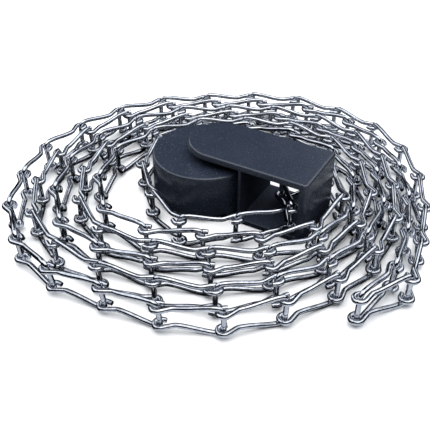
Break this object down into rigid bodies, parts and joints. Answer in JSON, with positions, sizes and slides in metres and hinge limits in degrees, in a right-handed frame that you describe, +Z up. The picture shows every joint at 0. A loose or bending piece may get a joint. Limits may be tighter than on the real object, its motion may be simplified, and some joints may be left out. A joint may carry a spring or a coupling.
{
  "type": "coil of steel wire ladder chain",
  "caption": "Endless steel wire ladder chain, doubled and coiled on edge round a black moulded yoke with a turning drum.",
  "frame": {"origin": "on the floor, under the middle of the whole coil's box", "axes": "+Z up, out of the floor; +X to the right and +Y away from the side that the folded end of the chain points to"},
  "size_m": [0.3065, 0.2795, 0.0506],
  "materials": {
    "steel_wire": "bright drawn and tumbled stainless steel wire",
    "black_nylon": "black moulded nylon, satin with a fine mould texture",
    "steel_pin": "plain turned steel"
  },
  "bodies": {
    "coil": {"axle_pin": "steel_pin", "chain_run_01": "steel_wire", "chain_run_02": "steel_wire", "chain_run_03": "steel_wire", "chain_run_04": "steel_wire", "chain_run_05": "steel_wire", "chain_run_06": "steel_wire", "chain_run_07": "steel_wire", "chain_run_08": "steel_wire", "chain_run_09": "steel_wire", "chain_run_10": "steel_wire", "chain_run_11": "steel_wire", "chain_run_12": "steel_wire", "chain_run_13": "steel_wire", "chain_run_14": "steel_wire", "chain_run_15": "steel_wire", "chain_run_16": "steel_wire", "chain_run_17": "steel_wire", "chain_run_18": "steel_wire", "chain_run_19": "steel_wire", "chain_run_20": "steel_wire", "chain_run_21": "steel_wire", "chain_run_22": "steel_wire", "chain_run_23": "steel_wire", "chain_run_24": "steel_wire", "chain_run_25": "steel_wire", "chain_run_26": "steel_wire", "chain_run_27": "steel_wire", "chain_run_28": "steel_wire", "chain_run_29": "steel_wire", "chain_run_30": "steel_wire", "chain_run_31": "steel_wire", "chain_run_32": "steel_wire", "chain_run_33": "steel_wire", "chain_run_34": "steel_wire", "chain_run_35": "steel_wire", "chain_run_36": "steel_wire", "chain_run_37": "steel_wire", "yoke": "black_nylon"},
    "drum_body": {"drum": "black_nylon"}
  },
  "joints": [
    {"name": "drum_spin", "type": "hinge", "parent": "coil", "child": "drum_body", "pos_m": [-0.0103, 0.0204, 0.0221], "axis": [0, 0, 1], "continuous": true}
  ]
}
